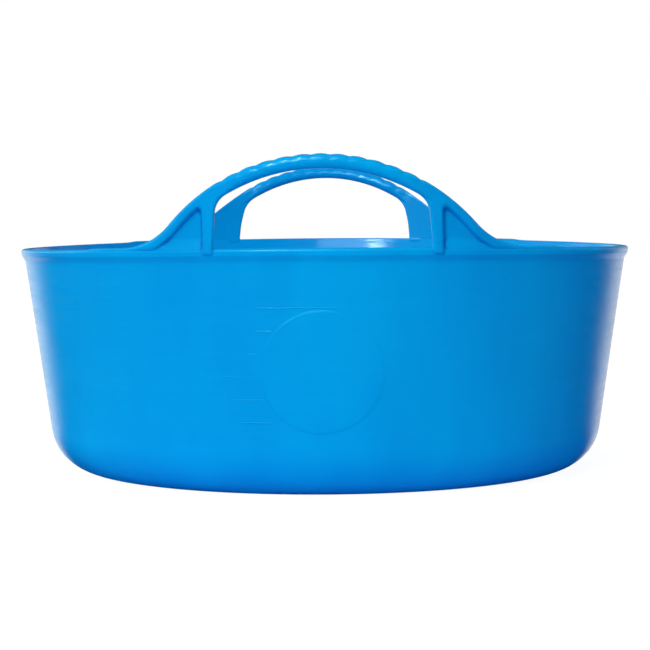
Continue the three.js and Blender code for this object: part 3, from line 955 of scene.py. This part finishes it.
# %% Floor and backdrop
WHITE = (1.0, 1.0, 1.0, 1.0)
FLOOR_HALF = 6.0
FLOOR_TONE = (0.34, 0.44, 0.66, 1.0)
PAINTED_BOUNCE_TONE = (0.15, 0.41, 1.0, 1.0)
PAINTED_BOUNCE_STRENGTH = 0.36
BOUNCE_NEAR, BOUNCE_FAR = 0.20, 0.27
GLOW_X, GLOW_Y = 0.137, 0.055
GLOW_START, GLOW_FULL = 0.62, 1.04
FADE_START, FADE_END = 1.38, 1.70
FADED = 0.08
SEEN_GLOW = 0.95
SEEN_SHADOW = 0.12


def stage_white(name):
    """White for the camera with a share of true shading, for mirrored rays a glow at the back, and for
    shading rays a painted blue glow close to the tub.
    """
    finish = bpy.data.materials.new(name)
    finish.use_nodes = True
    tree = finish.node_tree
    tree.nodes.clear()
    path = tree.nodes.new("ShaderNodeLightPath").outputs
    seen = work_out(tree, "MAXIMUM", path["Is Camera Ray"], path["Is Glossy Ray"])
    seen = work_out(tree, "MAXIMUM", seen, path["Is Transmission Ray"])
    matt = add(tree, "ShaderNodeBsdfDiffuse", Color=FLOOR_TONE)
    place = tree.nodes.new("ShaderNodeTexCoord").outputs["Object"]
    away = add(tree, "ShaderNodeVectorMath", {"operation": "LENGTH"}, slot_0=place).outputs["Value"]
    # A painted blue glow close to the tub stands in for bounced light; only shading rays see it.
    close_by = soft_range(tree, away, BOUNCE_NEAR, BOUNCE_FAR, PAINTED_BOUNCE_STRENGTH, 0.0)
    painted_bounce = add(tree, "ShaderNodeEmission", Color=PAINTED_BOUNCE_TONE, Strength=close_by)
    matt = add(tree, "ShaderNodeAddShader", slot_0=matt, slot_1=painted_bounce)
    spot = add(tree, "ShaderNodeSeparateXYZ", Vector=place).outputs
    beside = work_out(tree, "SUBTRACT", work_out(tree, "ABSOLUTE", spot[0]), GLOW_X)
    round_to_back = work_out(tree, "ARCTAN2", work_out(tree, "ADD", spot[1], GLOW_Y), beside)
    lit_back = soft_range(tree, round_to_back, GLOW_START, GLOW_FULL)
    straight = soft_range(tree, round_to_back, FADE_START, FADE_END, 1.0, FADED)
    lit_back = work_out(tree, "MULTIPLY", lit_back, straight)
    white = add(tree, "ShaderNodeMix", {"data_type": "FLOAT"}, slot_0=path["Is Glossy Ray"],
                slot_2=SEEN_GLOW, slot_3=lit_back)
    glow = add(tree, "ShaderNodeEmission", Color=WHITE, Strength=white)
    shade = work_out(tree, "MULTIPLY", path["Is Camera Ray"], SEEN_SHADOW)
    dim = add(tree, "ShaderNodeBsdfDiffuse", Color=shade)
    bright = add(tree, "ShaderNodeAddShader", slot_0=glow, slot_1=dim)
    both = add(tree, "ShaderNodeMixShader", slot_0=seen, slot_1=matt, slot_2=bright)
    add(tree, "ShaderNodeOutputMaterial", Surface=both)
    return finish


floor_mesh = bpy.data.meshes.new("floor")
floor_corners = [(x * FLOOR_HALF, y * FLOOR_HALF, 0) for x, y in ((-1, -1), (1, -1), (1, 1), (-1, 1))]
floor_mesh.from_pydata(floor_corners, [], [(0, 1, 2, 3)])
floor = put_on_stage("floor", floor_mesh)
floor_mesh.materials.append(stage_white("floor white"))

# %% [markdown]
# The room is the world's background, and Light Path tells it which ray is asking. The
# camera sees plain white. The tub's shading gets a bluish light that is strongest from
# behind on the left. Its mirrored rays find a pale band just over the floor at the back,
# left and right of the middle, and a dim room everywhere else.

# %% The white room
BRIGHT_SIDE = (-0.55, 0.75, 0.4)
SLOPE_FRONT, SLOPE_BACK = -0.9, 0.8
FRONT_SHADES, FRONT_MIRRORED = 0.14, 0.03
BACK_SHADES, BACK_MIRRORED = 0.85, 1.0
BAND_TOP, ROOM_ABOVE = 0.02, 0.30
ABOVE_LEFT = 0.06
MIDDLE_HALF, MIDDLE_END = 0.10, 0.35
MIDDLE_LEFT = 0.08
SHADE_TINT = (0.45, 0.66, 1.0, 1.0)

world = bpy.data.worlds.new("white room")
bpy.context.scene.world = world
world.use_nodes = True
room = world.node_tree
room.nodes.clear()
look = room.nodes.new("ShaderNodeTexCoord").outputs["Generated"]
path = room.nodes.new("ShaderNodeLightPath").outputs
glossy = path["Is Glossy Ray"]
front = add(room, "ShaderNodeMapRange", Value=glossy, To_Min=FRONT_SHADES, To_Max=FRONT_MIRRORED)
back = add(room, "ShaderNodeMapRange", Value=glossy, To_Min=BACK_SHADES, To_Max=BACK_MIRRORED)
slope = add(room, "ShaderNodeVectorMath", {"operation": "DOT_PRODUCT"}, slot_0=look, slot_1=BRIGHT_SIDE)
behind = add(room, "ShaderNodeMapRange", Value=slope.outputs["Value"],
             From_Min=SLOPE_FRONT, From_Max=SLOPE_BACK, To_Min=front, To_Max=back)
way = add(room, "ShaderNodeSeparateXYZ", Vector=look).outputs
dark_above = soft_range(room, way[2], BAND_TOP, ROOM_ABOVE, 1.0, ABOVE_LEFT)
beside = work_out(room, "ABSOLUTE", way[0])
off_middle = soft_range(room, beside, MIDDLE_HALF, MIDDLE_END, MIDDLE_LEFT, 1.0)
mirrored = work_out(room, "MULTIPLY", work_out(room, "MULTIPLY", behind, dark_above), off_middle)
behind = add(room, "ShaderNodeMix", {"data_type": "FLOAT"}, slot_0=glossy, slot_2=behind, slot_3=mirrored)
strength = add(room, "ShaderNodeMix", {"data_type": "FLOAT"}, slot_0=path["Is Camera Ray"],
               slot_2=behind, slot_3=1.0)
tint = add(room, "ShaderNodeMix", {"data_type": "RGBA"}, slot_0=path["Is Diffuse Ray"])
tint.inputs[6].default_value = WHITE
tint.inputs[7].default_value = SHADE_TINT
glow = add(room, "ShaderNodeBackground", Color=tint.outputs[2], Strength=strength)
add(room, "ShaderNodeOutputWorld", Surface=glow)
print("room ready")

# %% [markdown]
# Seven soft boxes light the tub. Four of them only shade: a panel in front, a key to the
# left of it, one low behind the left side, and one from above for the rim and the grips.
# The narrow strip shades too, and is mirrored in the plastic as small bright glints on the
# grips and the rear wall. The two wide shines are only mirrored. They give the weak broad
# shine beside those glints.

# %% Lamps
LAMP_AIM = (0.0, 0.0, 0.12)
LAMP_REACH = 4.0
LESS_BLUE = (1.0, 1.0, 0.88)
LEAST_BLUE = (1.0, 1.0, 0.72)
LESS_GREEN = (1.0, 0.93, 1.0)


def soft_lamp(name, side, height, width, tall, power):
    """A soft box LAMP_REACH away, this many degrees to the right of the camera and above the floor."""
    light = bpy.data.lights.new(name, "AREA")
    light.shape = "RECTANGLE"
    light.size = width
    light.size_y = tall
    light.energy = power
    lamp = put_on_stage(name, light)
    lean = Matrix.Rotation(math.radians(90.0 - height), 4, "X")
    around = Matrix.Rotation(math.radians(side), 4, "Z")
    lamp.matrix_world = Matrix.Translation(LAMP_AIM) @ around @ lean @ Matrix.Translation((0, 0, LAMP_REACH))
    return lamp


strip = soft_lamp("strip", side=-22.0, height=30.0, width=0.30, tall=2.6, power=66.0)
panel = soft_lamp("panel", side=4.0, height=24.0, width=1.9, tall=1.9, power=39.0)
key = soft_lamp("key", side=-30.0, height=19.0, width=2.0, tall=2.0, power=16.0)
side = soft_lamp("side", side=-122.0, height=18.0, width=2.4, tall=2.4, power=120.0)
top = soft_lamp("top", side=0.0, height=72.0, width=2.0, tall=2.0, power=34.0)
low_shine = soft_lamp("low shine", side=-13.5, height=17.0, width=2.1, tall=0.9, power=22.0)
high_shine = soft_lamp("high shine", side=-21.0, height=34.0, width=2.9, tall=1.0, power=46.0)
for lamp in (strip, key):
    lamp.data.color = LESS_BLUE
side.data.color = LEAST_BLUE
panel.data.color = LESS_GREEN
for lamp in (panel, key, side, top):
    lamp.visible_glossy = False
for lamp in (low_shine, high_shine):
    lamp.visible_diffuse = False

# %% [markdown]
# The camera repeats the photograph's. It was found by matching the rim, the base and the
# handles: a long lens, about a metre and a half away, level with the handles and looking
# down by three degrees, with a very small tilt.

# %% Camera
CAMERA_PLACE = (-0.0001, -1.4327, 0.1713)
CAMERA_DOWN = math.radians(3.114)
CAMERA_ROLL = math.radians(0.358)
CAMERA_LENS = 119.3
SENSOR_WIDTH = 36.0

camera_data = bpy.data.cameras.new("photograph camera")
camera_data.lens = CAMERA_LENS
camera_data.sensor_width = SENSOR_WIDTH
camera = put_on_stage("photograph camera", camera_data)
aim = Matrix.Rotation(math.pi / 2 - CAMERA_DOWN, 4, "X") @ Matrix.Rotation(-CAMERA_ROLL, 4, "Z")
camera.matrix_world = Matrix.Translation(CAMERA_PLACE) @ aim
bpy.context.scene.camera = camera
bpy.context.scene.view_settings.view_transform = "Standard"
